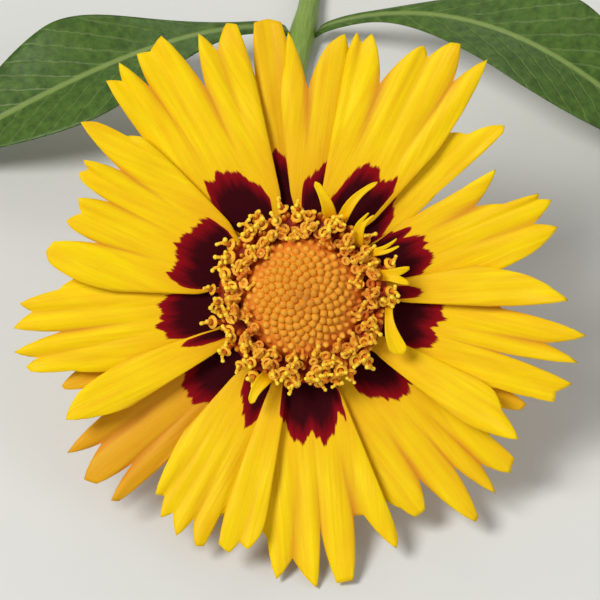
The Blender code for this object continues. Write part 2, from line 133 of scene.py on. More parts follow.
# %% [markdown]
# Most pieces of a flower are thin sheets: petals, bracts, leaves. A sheet starts as a plain grid, and a
# formula moves each grid point to its place. The formula also gives the point its pattern measure, such as
# how far across and how far along the blade it lies. A Solidify modifier then gives the sheet its thickness,
# less at the rim, as on a real petal. Cups and collars are profiles that are spun round the head's axis.

# %% Helpers for shapes
# A sheet's rim has this share of the full thickness, which is reached this many grid steps further in.
RIM_SHARE = 0.35
RIM_STEPS = 3


def smooth_step(low, high, value):
    """0 below low, 1 above high, and a soft slope between them."""
    t = min(1, max(0, (value - low) / (high - low)))
    return t * t * (3 - 2 * t)


def polar(reach, bearing, height):
    """A point of the head, by its distance from the axis, its bearing in degrees and its height."""
    angle = radians(bearing)
    return Vector((reach * cos(angle), reach * sin(angle), height))


def new_object(name, data):
    """Puts a mesh, a lamp or a camera into the scene."""
    made = bpy.data.objects.new(name, data)
    bpy.context.scene.collection.objects.link(made)
    return made


def new_shape():
    """An empty bmesh, and the layer in which its points carry the pattern measure."""
    shape = bmesh.new()
    return shape, shape.verts.layers.float_vector.new("pattern")


def new_sheet(columns, rows, place):
    """A grid whose points place(column, side, share) sets, each with its pattern measure.

    The side goes from -1 to 1 across the sheet, and the share from 0 to 1 along it."""
    shape, _ = new_shape()
    rim = shape.verts.layers.float.new("rim")
    pattern = shape.verts.layers.float_vector["pattern"]
    bmesh.ops.create_grid(shape, x_segments=columns - 1, y_segments=rows - 1, size=1)
    for index, vertex in enumerate(shape.verts):
        row, column = divmod(index, columns)
        vertex.co, vertex[pattern] = place(column, 2 * column / (columns - 1) - 1, row / (rows - 1))
        steps_in = min(column, columns - 1 - column, rows - 1 - row)
        vertex[rim] = min(1, RIM_SHARE + steps_in * (1 - RIM_SHARE) / RIM_STEPS)
    return shape


def spin_profile(shape, profile, steps):
    """Spins a profile of reaches and heights round the axis. Off the axis, it is closed first."""
    corners = [shape.verts.new((reach, 0, height)) for reach, height in profile]
    closing = corners[:1] if profile[0][0] > 0 else []
    for low, high in zip(corners, corners[1:] + closing):
        shape.edges.new((low, high))
    bmesh.ops.spin(shape, geom=shape.verts[:] + shape.edges[:], cent=(0, 0, 0), axis=(0, 0, 1),
                   angle=tau, steps=steps, use_merge=True)
    bmesh.ops.remove_doubles(shape, verts=shape.verts, dist=0.001)
    bmesh.ops.recalc_face_normals(shape, faces=shape.faces)


def add_piece(name, shape, material, matrix=HEAD, replaces=(), thickness=0, smooth_angle=60,
              underside=None):
    """Turns a bmesh into an object that rides on the flower and stands for CAD nodes."""
    bmesh.ops.transform(shape, matrix=matrix, verts=shape.verts)
    mesh = bpy.data.meshes.new(name)
    shape.to_mesh(mesh)
    shape.free()
    mesh.materials.append(material)
    if underside:
        mesh.materials.append(underside)
    mesh.shade_smooth()
    piece = new_object(name, mesh)
    if thickness:
        group = piece.vertex_groups.new(name="rim")
        for index, value in enumerate(mesh.attributes["rim"].data):
            group.add([index], value.value, "REPLACE")
        wall = piece.modifiers.new("thickness", "SOLIDIFY")
        wall.thickness = thickness * MM
        wall.offset = 0
        wall.vertex_group = group.name
        wall.material_offset = 1 if underside else 0
    else:
        mesh.set_sharp_from_angle(angle=radians(smooth_angle))
    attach(piece, BODY)
    if replaces:
        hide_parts(*replaces)


print("helpers for shapes are ready")

# %% [markdown]
# The camera looks straight at the face of the flower, from far enough away that the head keeps its round
# outline. The picture is square, and its middle lies a few pixels off the middle of the disc.

# %% The camera
PICTURE_PIXELS = 600
FLOWER_MIDDLE = (303, 298)
MM_PER_PIXEL = 0.1056
CAMERA_DISTANCE = 520
SENSOR_MM = 36

camera_data = bpy.data.cameras.new("camera")
camera_data.sensor_width = SENSOR_MM
camera_data.sensor_fit = "HORIZONTAL"
camera_data.lens = SENSOR_MM * CAMERA_DISTANCE / (PICTURE_PIXELS * MM_PER_PIXEL)
camera_data.clip_start = 0.01
camera_data.shift_x = (PICTURE_PIXELS / 2 - FLOWER_MIDDLE[0]) / PICTURE_PIXELS
camera_data.shift_y = (FLOWER_MIDDLE[1] - PICTURE_PIXELS / 2) / PICTURE_PIXELS
camera = new_object("camera", camera_data)
camera.location = HEAD @ Vector((0, 0, CAMERA_DISTANCE))
camera.rotation_euler = face_normal.to_track_quat("Z", "Y").to_euler()
bpy.context.scene.camera = camera
print("camera lens in millimetres:", round(camera_data.lens))

# %% [markdown]
# The studio is a pale floor, a wide soft light from the upper left, a weaker one from the right, and a
# little light from all around. Wide lights keep the shadows between the rays soft, as under a bright sky.
# Blender's usual view transform pales strong yellows, so the standard one is chosen: it shows each colour
# as it was picked.

# %% Floor and lights
FLOOR_COLOUR = "#d9d8d2"
FLOOR_SIZE = 6
SKY_COLOUR = "#eef2f6"
SKY_STRENGTH = 0.30
# Each light: name, place and width in metres, and power in watts.
LIGHTS = (
    ("key_light", (-0.55, -0.35, 0.95), 0.45, 10),
    ("fill_light", (0.75, -0.55, 0.60), 0.80, 2.2),
    ("back_light", (0.15, 0.85, 0.75), 0.70, 2),
)
bpy.context.scene.view_settings.view_transform = "Standard"

paper, _ = new_material("studio_paper", {"Base Color": FLOOR_COLOUR, "Roughness": 0.85})
floor_shape = bmesh.new()
bmesh.ops.create_grid(floor_shape, x_segments=1, y_segments=1, size=FLOOR_SIZE / 2)
floor_mesh = bpy.data.meshes.new("floor")
floor_shape.to_mesh(floor_mesh)
floor_shape.free()
floor_mesh.materials.append(paper)
new_object("floor", floor_mesh)

for name, place, width, power in LIGHTS:
    light = bpy.data.lights.new(name, "AREA")
    light.shape = "DISK"
    light.size = width
    light.energy = power
    lamp = new_object(name, light)
    lamp.location = place
    lamp.rotation_euler = (Vector(place) - HEAD.translation).to_track_quat("Z", "Y").to_euler()
world = bpy.data.worlds.new("soft_sky")
bpy.context.scene.world = world
world.use_nodes = True
fill(world.node_tree.nodes["Background"], {"Color": SKY_COLOUR, "Strength": SKY_STRENGTH})
print("lights:", [light[0] for light in LIGHTS])

# %% [markdown]
# The ray florets are what everybody calls the petals. Each one is drawn from a few numbers: its layer, and
# its outline from its left edge to its right, as bearings round the head and reaches from the middle, where
# every high point is a tooth and every low one a notch. The blotch is given in the same way: how far out
# the maroon reaches at each bearing. The last number is painted shade: how much orange is painted on a ray
# where it lies in the shade of the rays above it. Bearings are in degrees from the right, and reaches in
# millimetres.

# %% The rays' measures
# Each ray: layer from the lowest, outline as bearing: reach, the blotch in the same way, painted shade.
RAYS = (
    (1, {39: 12, 36.4: 14.5, 35.2: 17.7, 34.3: 21, 33.8: 24.4, 28: 20.5, 25.1: 23.3, 23.9: 27.1, 22.8: 26.8,
     21.5: 28.1, 17.8: 25.5, 15.6: 27.8, 12.2: 25.6, 9.4: 22.5, 7: 19}, {39: 12.4, 36: 11.8, 33: 13.9,
     31: 12.6, 27: 14.4, 22: 13.9, 17: 14.6, 11: 12.6}, 0),
    (2, {10.8: 18.4, 8.6: 20.6, 4.6: 24.6, 1.8: 26.4, -0.6: 27.8, -2.2: 21.6, -2.6: 19.4}, {9: 8.5, 6: 12,
     3: 12.7, 0.5: 12, -1.5: 9}, 0),
    (1, {2: 18, -3: 21, -7.6: 30.1, -10.6: 25.9, -13.3: 29.8, -15.6: 21.2, -17.6: 29.7, -20.3: 28.4,
     -22.5: 28.6, -23.6: 26, -25: 22.4, -27.5: 19}, {2: 13.4, -3: 14.8, -9: 14.9, -13: 14, -18: 14.9,
     -22: 14.2, -24.5: 12.8, -27.5: 11.6}, 0),
    (0, {-21.5: 20, -24.4: 24.2, -25.4: 26.1, -27.1: 25.9, -29.3: 23.6, -31: 21}, {}, 0.42),
    (2, {-24.6: 20.2, -26: 22.4, -29.5: 24, -33.3: 27, -36.4: 23.6, -38: 20.6}, {}, 0),
    (0, {-33: 21.5, -36.4: 24.5, -37.1: 28, -38.6: 28.3, -40.3: 28.6, -43.1: 25.6, -45.4: 29, -48.2: 23.8,
     -51.3: 29.6, -52.4: 29.8, -57.3: 22.6, -60: 25.8, -62.8: 26, -65: 24.5, -70: 21.5}, {-35: 13.2,
     -38: 14.4,
     -43: 15.1, -48: 14.4, -51: 13.6, -55: 12.6, -59: 12, -61.5: 9}, 0.1),
    (1, {-67.9: 23.8, -68.3: 27, -69.5: 28.1, -74.4: 23.7, -76.9: 23.5, -79.9: 30.1, -83.2: 30.2, -85.7: 24.5,
     -87.2: 30.5, -92.3: 27.4, -95.4: 29.7, -98.5: 25.6, -103: 22}, {-68.2: 10.5, -70.5: 13.4, -73.5: 12.8,
     -77: 14.8, -82: 15.4, -86.5: 14.1, -90: 15.3, -95: 14.9, -98: 13.4, -103: 12.2}, 0),
    (2, {-99.4: 21, -99.9: 25, -102.4: 27, -104.6: 26.4, -106.2: 27.8, -109: 27.2, -110.6: 21}, {-99: 13,
     -101.5: 12.4, -103.5: 8.5}, 0),
    (1, {-106: 21, -110.9: 24.6, -111.8: 28.1, -113.5: 28.4, -116.3: 25.9, -118: 28.3, -121.2: 26.4,
     -123: 27.5, -125: 25.4, -127: 25.8, -130: 21.6, -131.8: 18.8}, {-109: 12, -111: 14, -113.5: 14.9,
     -117: 13.8, -121: 12.4, -127: 10.6}, 0),
    (0, {-126.5: 17, -129.6: 21.6, -130.8: 25.3, -132.2: 28.9, -133.5: 29.4, -135.9: 25.1, -138: 29.3,
     -140.4: 30, -144.2: 26.2, -146.7: 29.8, -149.8: 24.3, -153: 21.5}, {-127: 13, -132: 15.1, -137: 16,
     -142: 15.9, -147: 15.1, -151: 12.5}, 0.6),
    (2, {-147.8: 21.5, -149.8: 24.6, -152.8: 27.9, -153.9: 27.5, -157.2: 25.5, -159.6: 22, -161: 19.4},
     {-152: 9, -155: 12, -158: 13.7, -160.5: 12.6}, 0),
    (0, {-156.2: 21.6, -157.7: 25.2, -159: 26.9, -160: 27.1, -162.6: 24.8, -165.2: 21.5}, {}, 0.42),
    (1, {-158: 20, -162.5: 25.4, -164.8: 29.6, -166: 30, -167.3: 28.6, -169.4: 30.9, -172.1: 25.7, -174: 30.6,
     -177.1: 28.5, -178.9: 29.8, -182: 25.7, -188: 22}, {-159: 12, -163: 14.8, -168: 15.5, -173: 15.1,
     -178: 15.1, -181: 14.3, -185: 12}, 0),
    (2, {-182: 20, -185.2: 24.6, -188: 26.9, -190.2: 27.4, -192.8: 26.8, -195: 22.3, -196.8: 25.4,
     -198.1: 26.1, -201: 24.9, -204: 25.8, -206.4: 22.7, -207.8: 26.2, -209.2: 26.9, -210.9: 26.2,
     -212.2: 27.2, -215: 23.3, -218.3: 29.7, -220.4: 28.5, -222.6: 25.1, -224.9: 24, -226: 19}, {-183.5: 9,
     -185.5: 13.2, -190: 14.4, -197: 13.8, -203: 14.6, -210: 13.9, -216: 13.6, -220.5: 13.2, -223: 9}, 0),
    (1, {-221: 21, -225.1: 23.9, -227.8: 30.8, -230.2: 29.7, -232: 31.4, -234: 27.4, -235.7: 31, -238.2: 30.5,
     -241.6: 31.3, -245.2: 24.4, -248.4: 29.9, -250.9: 27.5, -254.4: 30, -256.4: 29.6, -257.8: 23.4},
     {-224: 12, -227: 14.6, -230: 15.8, -236: 15.9, -242: 15.2, -244.5: 14, -249: 12.8, -252.5: 10.5}, 0),
    (0, {-249.5: 19, -257.5: 22.8, -259.9: 29.5, -262.7: 29.7, -265.5: 29.2, -267.2: 24, -270: 21}, {-253: 13,
     -256: 15.6, -260: 16, -263: 15, -265.5: 9.5}, 0.25),
    (1, {-263.2: 20.5, -265.7: 25, -266.8: 28, -271.3: 22, -275.7: 26.8, -279: 28.1, -282.4: 23.6,
     -290: 21.4}, {-267.5: 8.5, -270: 12.2, -275: 13.2, -280: 14.6, -284: 14.8, -288: 12.5}, 0.12),
    (2, {-280: 25.6, -281.4: 28.4, -283: 27.4, -284.6: 28.6, -285.8: 27.9, -289.7: 23.9, -294.8: 29,
     -295.7: 29.3, -297.4: 28.4, -300: 30.9, -301.8: 31.3, -304.8: 27.6, -307.7: 31.6, -310.2: 26.8,
     -311.6: 23.2, -312.6: 20.5}, {-282.5: 8.5, -285.5: 11, -289: 12.6, -292: 14.3, -294.5: 15.6, -299: 15.9,
     -304: 14.8, -308: 15.8, -311: 14.4}, 0),
    (1, {-304: 20.4, -311.4: 23.2, -315.1: 24.4, -317.7: 27, -319.5: 27.9, -320.5: 27.2, -321.2: 23, -322: 18,
     -323.8: 14.5}, {-308: 14, -312.5: 14.2, -317: 13, -323: 10.6}, 0),
)
print("rays:", len(RAYS), "in three layers")

# %% [markdown]
# The blades follow the solid ones: three layers that open outwards, edges that hang a little, and tips that
# droop. The finer sheet adds what thick solids can't show: teeth with round ends and notches with sharp
# ones, pleats that run from the claw out to the teeth, and a slow wave along both edges.

# %% Build the rays
CORE_RADIUS = 7.6
GAP = 0.3
SOLID_BLADE = 0.6
LAYER_PITCH = 0.97
LAYER_OPENING = 0.03
RAY_RISE = 0.03
RAY_ROOT = CORE_RADIUS + GAP
RAY_FULL = 11.5
CLAW_SHARE = 0.80
RAY_THICKNESS = 0.34
RAY_ROWS = 44
# Columns: how far apart at this reach, and how round the teeth are.
COLUMN_PITCH = 0.42
COLUMN_REACH = 26
TOOTH_ROUNDNESS = 1.22
# The tips droop, less on the higher layers, and the lowest lie on the surface.
TIP_DROOP = 0.0035
TIP_DROOP_FROM = 15
LAYER_STIFFNESS = 0.35
CROSS_ARCH = 0.005
REST_HEIGHT = 0.13
# Pleats deepen outwards. A tooth this long has a whole pleat, and an edge is folded down a little.
PLEAT_DEPTH = 0.42
PLEAT_FROM, PLEAT_TO = 12.5, 27
FULL_PLEAT_TOOTH = 3.2
EDGE_FOLD = -0.6
# Teeth bend up at their ends, edges wave, and whole rays curl up, each by its own draw.
TOOTH_BEND = 0.55
TOOTH_BEND_LENGTH = 7
EDGE_WAVE = 0.24
EDGE_WAVE_LENGTH = 9
FULL_WAVE = 24
MOST_CURL = 0.5
CURL_FROM, CURL_TO = 18, 31
# Valleys between pleats get painted orange shade from this share of the ray's length on, up to the deepest.
VALLEY_PAINTED_SHADE = 0.80
VALLEY_FROM, VALLEY_TO = 0.40, 0.95
DEEPEST_PAINTED_SHADE = 0.85


def value_at(table, bearing):
    """Reads a table of bearings and values between its entries, from left to right. Outside, it is 0."""
    for (first, low), (second, high) in zip(table, table[1:]):
        if first >= bearing >= second:
            return low + (high - low) * (first - bearing) / (first - second)
    return 0


def ray_height(layer, reach, sideways):
    """The middle of a blade's thickness, as on the solid ray."""
    droop = TIP_DROOP * max(0, reach - TIP_DROOP_FROM) ** 2
    rise = (RAY_RISE + LAYER_OPENING * layer) * (reach - RAY_ROOT)
    height = SOLID_BLADE / 2 + LAYER_PITCH * layer + rise
    return height - droop * (1 - LAYER_STIFFNESS * layer) - CROSS_ARCH * sideways * sideways


def ray_columns(outline, draw):
    """Bearing, reach, fold and bend of each column: round on the teeth, sharp in the notches."""
    folds = [EDGE_FOLD]
    for (_, before), (_, reach), (_, after) in zip(outline, outline[1:], outline[2:]):
        folds.append(max(-1, min(1, (reach - (before + after) / 2) / FULL_PLEAT_TOOTH)))
    folds.append(EDGE_FOLD)
    bends = [draw(0, TOOTH_BEND) * max(0, fold) for fold in folds]
    columns = []
    for index, ((first, low), (second, high)) in enumerate(zip(outline, outline[1:])):
        width = radians(first - second) * COLUMN_REACH
        steps = max(3, round(width / COLUMN_PITCH))
        for step in range(steps):
            share = step / steps
            up = share if high > low else 1 - share
            rounded = 1 - (1 - up) ** TOOTH_ROUNDNESS
            reach = min(low, high) + abs(high - low) * rounded
            soft = (1 - cos(pi * share)) / 2
            fold = folds[index] + (folds[index + 1] - folds[index]) * soft
            bend = bends[index] + (bends[index + 1] - bends[index]) * soft
            columns.append((first + (second - first) * share, reach, fold, bend))
    columns.append((*outline[-1], EDGE_FOLD, 0))
    return columns


def build_ray(number, ray, material, underside):
    """One ray floret as a thin pleated sheet."""
    layer, outline, blotch, painted_shade = ray
    outline, blotch = list(outline.items()), list(blotch.items())
    left, right = outline[0][0], outline[-1][0]
    draw = random.Random(number).uniform
    columns = ray_columns(outline, draw)
    middle = (left + right) / 2
    phase = draw(0, tau)
    curl = draw(0, MOST_CURL)
    half_span = (left - right) / 2

    def place(column, _, share):
        edge_bearing, tip, fold, bend = columns[column]
        reach = RAY_ROOT + (tip - RAY_ROOT) * share
        spread = CLAW_SHARE + (1 - CLAW_SHARE) * smooth_step(RAY_ROOT, RAY_FULL, reach)
        bearing = middle + (edge_bearing - middle) * spread
        sideways = reach * radians(bearing - middle)
        pleat = PLEAT_DEPTH / 2 * fold * smooth_step(PLEAT_FROM, PLEAT_TO, reach)
        off_middle = (edge_bearing - middle) / half_span
        wave = EDGE_WAVE * smooth_step(RAY_FULL, FULL_WAVE, reach) * off_middle ** 2
        wave *= sin(tau * reach / EDGE_WAVE_LENGTH + phase)
        lift = curl * layer / 2 * smooth_step(CURL_FROM, CURL_TO, reach) ** 2
        lift += bend * smooth_step(tip - TOOTH_BEND_LENGTH, tip, reach) ** 2
        spot = polar(reach, bearing, ray_height(layer, reach, sideways) + pleat + wave + lift)
        on_surface = (REST_HEIGHT - HEAD_HEIGHT - spot.y * sin(TILT)) / cos(TILT)
        spot.z = max(spot.z, on_surface)
        return spot, (sideways, reach, value_at(blotch, edge_bearing))

    shape = new_sheet(len(columns), RAY_ROWS, place)
    painted_shade_layer = shape.verts.layers.float.new("painted_shade")
    # painted shade: the ray's own share under the rays above, plus orange painted into the valleys between
    # pleats
    for index, vertex in enumerate(shape.verts):
        row, column = divmod(index, len(columns))
        valley = max(0, -columns[column][2]) ** 2
        valley *= smooth_step(VALLEY_FROM, VALLEY_TO, row / (RAY_ROWS - 1))
        vertex[painted_shade_layer] = min(DEEPEST_PAINTED_SHADE, painted_shade + VALLEY_PAINTED_SHADE * valley)
    name = f"ray_{number:02d}"
    add_piece("petal_" + name, shape, material, replaces=(name,), thickness=RAY_THICKNESS,
              underside=underside)


# %% [markdown]
# Living petal: a ray floret is a sheet of thin-walled cells, ribbed by parallel veins and lightly waxed.
# To the eye that means a saturated yellow, a soft satin sheen and faint lines along the blade. Where one
# petal lies under another, and in the valleys of its pleats, a deeper orange is painted: painted shade for
# the light that has bounced between two petals. The blotch is a pigment in the same cells: almost black
# in its middle, crimson at its edge, and frayed along the veins, where the pigment runs out unevenly. The
# underside has less of every pigment, so the same recipe serves for it with duller colours.

# %% Material: ray floret tissue
# Widths and lengths in millimetres: veins, pale and warm clouds, and the fray of the blotch, with its depth.
VEIN_WIDTH, VEIN_LENGTH = 0.5, 14.2857
CLOUD_WIDTH, CLOUD_LENGTH = 1.81818, 8.33333
FRAY_WIDTH, FRAY_LENGTH, FRAY_DEPTH = 0.75, 5, 2.6
VEIN_RELIEF = 0.16
BLOTCH_MARGIN = 2.5
BLOTCH_EDGE = 0.2


def petal_material(name, bright, deep, warm, blotch_strength):
    """Yellow with veins and clouds, warmer at the claw, with painted orange shade, under a frayed maroon
    blotch.
    """
    material, shader = new_material(name, {
        "Roughness": 0.52, "IOR": 1.42, "Subsurface Weight": 0.08, "Subsurface Radius": (1, 0.5, 0.05),
        "Subsurface Scale": 0.5 * MM})
    pattern, _, reach, blotch = read_pattern(shader)
    painted_shade = add_node(shader, "Attribute", {}, "Fac", attribute_name="painted_shade")
    veins = drawn_out_noise(shader, pattern, (1 / VEIN_WIDTH, 1 / VEIN_LENGTH, 0), 3, 0.6)
    clouds = drawn_out_noise(shader, pattern, (1 / CLOUD_WIDTH, 1 / CLOUD_LENGTH, 0))
    fray = drawn_out_noise(shader, pattern, (1 / FRAY_WIDTH, 1 / FRAY_LENGTH, 0), 2, 0.7)

    yellow = tint(shader, deep, bright, veins, 0.32, 0.68)
    yellow = tint(shader, yellow, warm, clouds, 0.42, 0.72, 0.6)
    yellow = tint(shader, yellow, "#e99c0c", reach, 19, 9, 0.6)
    # painted shade in orange, where a ray lies under others and in its pleat valleys
    yellow = tint(shader, yellow, "#cf7d1c", painted_shade)

    # how far inside the blotch's frayed edge a point lies
    fray = add_node(shader, "Math", {0: fray, 1: 0.5}, operation="SUBTRACT")
    inside = add_node(shader, "Math", {0: blotch, 1: reach}, operation="SUBTRACT")
    inside = add_node(shader, "Math", {0: fray, 1: FRAY_DEPTH, 2: inside}, operation="MULTIPLY_ADD")
    maroon = tint(shader, "#8c0e18", "#390a10", inside, 0, BLOTCH_MARGIN, interpolation_type="SMOOTHSTEP")
    ends = {"Value": inside, "From Min": -BLOTCH_EDGE, "From Max": BLOTCH_EDGE, "To Max": blotch_strength}
    stained = add_node(shader, "MapRange", ends, interpolation_type="SMOOTHSTEP")
    sheen = add_node(shader, "MapRange", {"Value": stained, "To Min": 0.18, "To Max": 0.02})
    bump = add_node(shader, "Bump", {"Height": veins, "Strength": 0.5, "Distance": VEIN_RELIEF * MM})
    colour = tint(shader, yellow, maroon, stained)
    fill(shader, {"Base Color": colour, "Specular IOR Level": sheen, "Normal": bump})
    return material


petal = petal_material("ray_floret_upper_side", "#f8d600", "#f0c204", "#eab00c", 1)
petal_back = petal_material("ray_floret_underside", "#f0c024", "#e6b02a", "#dca42c", 0.25)
for number, ray in enumerate(RAYS, start=1):
    build_ray(number, ray, petal, petal_back)
print("rays built:", len(RAYS))

# %% [markdown]
# The disc is the true heart of the flower. Its florets open from the outside in, so the middle is still a
# dome of closed buds, then come buds that are just opening, and the rim is a ring of open florets. They sit
# on a spiral, where each one stands a golden angle further round than the one before, which packs them
# evenly. Every floret is a small part made upright at the origin and then stood on the dome.

# %% The disc's measures
CORE_TOP = 2.7
DISC_RADIUS = 6.6
DISC_BASE = CORE_TOP + GAP
DISC_HEIGHT = 4.2
DISC_EDGE = 0.7
DOME_OVAL = 1.15
GOLDEN_ANGLE = pi * (3 - sqrt(5))
BUD_PITCH = 0.84
BUD_SINK = 0.4
OPENING_FROM = 4.9
RIM_FILL = 0.45
RING_TOP = DISC_BASE + 0.9
CORE_MARGIN = 0.12
BUD_LEAN = 0.10
OPENING_LEAN = 0.9


def dome_height(reach):
    """The solid dome's oval cap."""
    across = reach / (DISC_RADIUS * DOME_OVAL)
    rim = sqrt(1 - 1 / DOME_OVAL ** 2)
    return DISC_BASE + DISC_EDGE + DISC_HEIGHT * (sqrt(1 - across * across) - rim) / (1 - rim)


def dome_point(reach, angle):
    """A place on the dome and the direction straight out of it."""
    step = 0.02
    slope = (dome_height(reach + step) - dome_height(reach)) / step
    spot = Vector((reach * cos(angle), reach * sin(angle), dome_height(reach)))
    out = Vector((-slope * cos(angle), -slope * sin(angle), 1)).normalized()
    return spot, out


print("the dome rises to", round(dome_height(0), 2), "mm")

# %% [markdown]
# A floret is drawn in one of three ways. A bud is a squat egg with five faint ribs. An opening or open
# floret is a trumpet: a ten-sided ring is extruded step by step into a tube, a mouth with five lobes, and
# back down into its throat. From an open one grows a column of anthers, and out of that the style, which
# forks into two curled tips dusted with pollen. Each part carries how far up it a point lies, and a tone.


# %% Shapes of the disc florets
def stand(spot, out, turn=0):
    """A matrix that stands a part, made along Z, at a spot and points it outwards."""
    facing = Vector((0, 0, 1)).rotation_difference(out).to_matrix().to_4x4()
    return Matrix.Translation(spot) @ facing @ Matrix.Rotation(turn, 4, "Z")


def add_measured(shape, verts, matrix, measure):
    """Moves a new part into place and gives its points the measures that measure(point) returns."""
    pattern = shape.verts.layers.float_vector["pattern"]
    for vertex in verts:
        vertex[pattern] = measure(vertex.co)
    bmesh.ops.transform(shape, matrix=matrix, verts=verts)


def add_bud(shape, place, width, tall, outer, tone):
    """A closed floret."""
    bud = bmesh.ops.create_uvsphere(shape, u_segments=10, v_segments=8, radius=1)["verts"]
    for vertex in bud:
        ribs = cos(5 * atan2(vertex.co.y, vertex.co.x))
        lobed = width * (1 - 0.07 * (1 - ribs) * max(0, vertex.co.z))
        vertex.co = Vector((vertex.co.x * lobed, vertex.co.y * lobed, vertex.co.z * tall))
    add_measured(shape, bud, place, lambda point: (point.z / tall, outer, tone))


def add_trumpet(shape, place, length, mouth, openness, second, tone):
    """A tube with a five-lobed mouth, wide open or only just opening."""
    tube = 0.66 - 0.32 * openness
    lobes = 0.20 + 0.26 * openness
    rings = ((0.55, tube * 1.1, 0), (0.85, (tube + 1) / 2, 0.05), (1, 1, lobes),
             (0.94, 0.55, 0), (0.72, 0.28, 0))
    foot = bmesh.ops.create_circle(shape, cap_ends=True, segments=10, radius=tube * mouth)["verts"]
    face = foot[0].link_faces[0]
    edges = list(face.edges)
    bmesh.ops.reverse_faces(shape, faces=[face])
    verts = list(foot)
    for along, wide, lobe in rings:
        grown = bmesh.ops.extrude_edge_only(shape, edges=edges)["geom"]
        edges = [item for item in grown if isinstance(item, bmesh.types.BMEdge) and item.is_boundary]
        ring = {vertex for edge in edges for vertex in edge.verts}
        for vertex in ring:
            around = atan2(vertex.co.y, vertex.co.x)
            ripple = cos(5 * around)
            reach = wide * mouth * (1 + lobe * ripple)
            fall = mouth * lobe * openness * (1 + ripple)
            vertex.co = Vector((reach * cos(around), reach * sin(around), along * length - fall))
        verts += ring
    bmesh.ops.contextual_create(shape, geom=edges)
    add_measured(shape, verts, place, lambda point: (point.z / length, second, tone))


def add_rod(shape, start, end, start_width, end_width, low, high, tone):
    """A tapered six-sided rod."""
    out = end - start
    rod = bmesh.ops.create_cone(shape, cap_ends=True, segments=6, radius1=start_width, radius2=end_width,
                                depth=out.length)["verts"]
    place = stand(start + out / 2, out.normalized())
    add_measured(shape, rod, place,
                 lambda point: (low + (high - low) * (point.z / out.length + 0.5), 1, tone))


def add_knob(shape, spot, width, tone):
    """A pollen-dusted tip."""
    knob = bmesh.ops.create_icosphere(shape, subdivisions=1, radius=width)["verts"]
    add_measured(shape, knob, Matrix.Translation(spot), lambda point: (1, 1, tone))


ANTHER_DEPTH = 0.5


def add_open_floret(shape, foot, head, mouth, openness, warmth, draw):
    """One floret with its anther column and forked style."""
    tone = 0.5 * draw(0, 1) + 0.5 * warmth
    out = (head - foot).normalized()
    add_trumpet(shape, stand(foot, out, draw(0, tau)), (head - foot).length, mouth,
                openness, 0, tone)
    anthers = head + out * draw(0.2, 0.7)
    add_rod(shape, head - out * ANTHER_DEPTH, anthers, 0.24, 0.28, 0.5, 0.8, tone)
    side = out.cross(Vector((draw(-1, 1), draw(-1, 1), 0.3))).normalized()
    for way in (-1, 1):
        bend = anthers + out * draw(0.1, 0.35) + side * way * draw(0.15, 0.35)
        tip = bend + side * way * draw(0.15, 0.45) + out * draw(-0.2, 0.2)
        add_rod(shape, anthers - out * 0.1, bend, 0.19, 0.17, 0.8, 0.95, tone)
        add_rod(shape, bend, tip, 0.17, 0.15, 0.95, 1, tone)
        add_knob(shape, tip, draw(0.20, 0.30), tone)


print("a floret is a bud, a trumpet, or a trumpet with its column and forked style")


# %% Build the buds
def build_buds(material):
    """The dome of buds on a low core. Returns how many there are."""
    shape, pattern = new_shape()
    core_radius = DISC_RADIUS + CORE_MARGIN
    core = bmesh.ops.create_uvsphere(shape, u_segments=48, v_segments=24, radius=1)
    for vertex in core["verts"]:
        reach = min(1, hypot(vertex.co.x, vertex.co.y)) * core_radius
        filled = RIM_FILL * smooth_step(OPENING_FROM - 0.5, DISC_RADIUS - 0.6, reach)
        vertex.co.x *= core_radius
        vertex.co.y *= core_radius
        vertex.co.z = dome_height(reach) - BUD_SINK + filled if vertex.co.z > 0 else DISC_BASE + 0.05
        vertex[pattern] = (0, hypot(vertex.co.x, vertex.co.y) / DISC_RADIUS, 0.5)
    draw = random.Random(11).uniform
    step = BUD_PITCH * sqrt(sqrt(3) / tau)
    count = int((DISC_RADIUS / step) ** 2)
    for index in range(count):
        reach = step * sqrt(index + 0.5)
        outer = reach / DISC_RADIUS
        spot, out = dome_point(reach, index * GOLDEN_ANGLE)
        tone = draw(0, 1)
        lean = (out + BUD_LEAN * Vector((draw(-1, 1), draw(-1, 1), 0))).normalized()
        opening = smooth_step(OPENING_FROM, DISC_RADIUS, reach + draw(-0.5, 0.5))
        lean = (lean + Vector((0, 0, OPENING_LEAN * opening))).normalized()
        place = stand(spot - lean * BUD_SINK, lean, draw(0, tau))
        rise = opening * draw(0.5, 1.2)
        if draw(0.3, 1) > opening:
            width = BUD_PITCH * (0.55 + 0.06 * rise) * draw(0.94, 1.06)
            tall = BUD_SINK + 0.20 * draw(0.6, 1.3) + 0.62 * rise
            add_bud(shape, place, width, tall, outer, tone)
        else:
            length = BUD_SINK + 0.45 + 0.85 * rise
            mouth = BUD_PITCH * (0.54 + 0.08 * opening) * draw(0.9, 1.15)
            add_trumpet(shape, place, length, mouth, 0.7 * opening, outer, tone)
    add_piece("disc_of_buds", shape, material, replaces=("disc_buds",))
    return count


# %% [markdown]
# Closed florets: each bud is a tight tube of five small petals that meet in a point. The tips catch the
# light as orange beads, and the chinks between them stay a little darker. The youngest buds in the very
# middle are a shade browner. Towards the rim the buds redden and begin to open, with rust-red chinks.

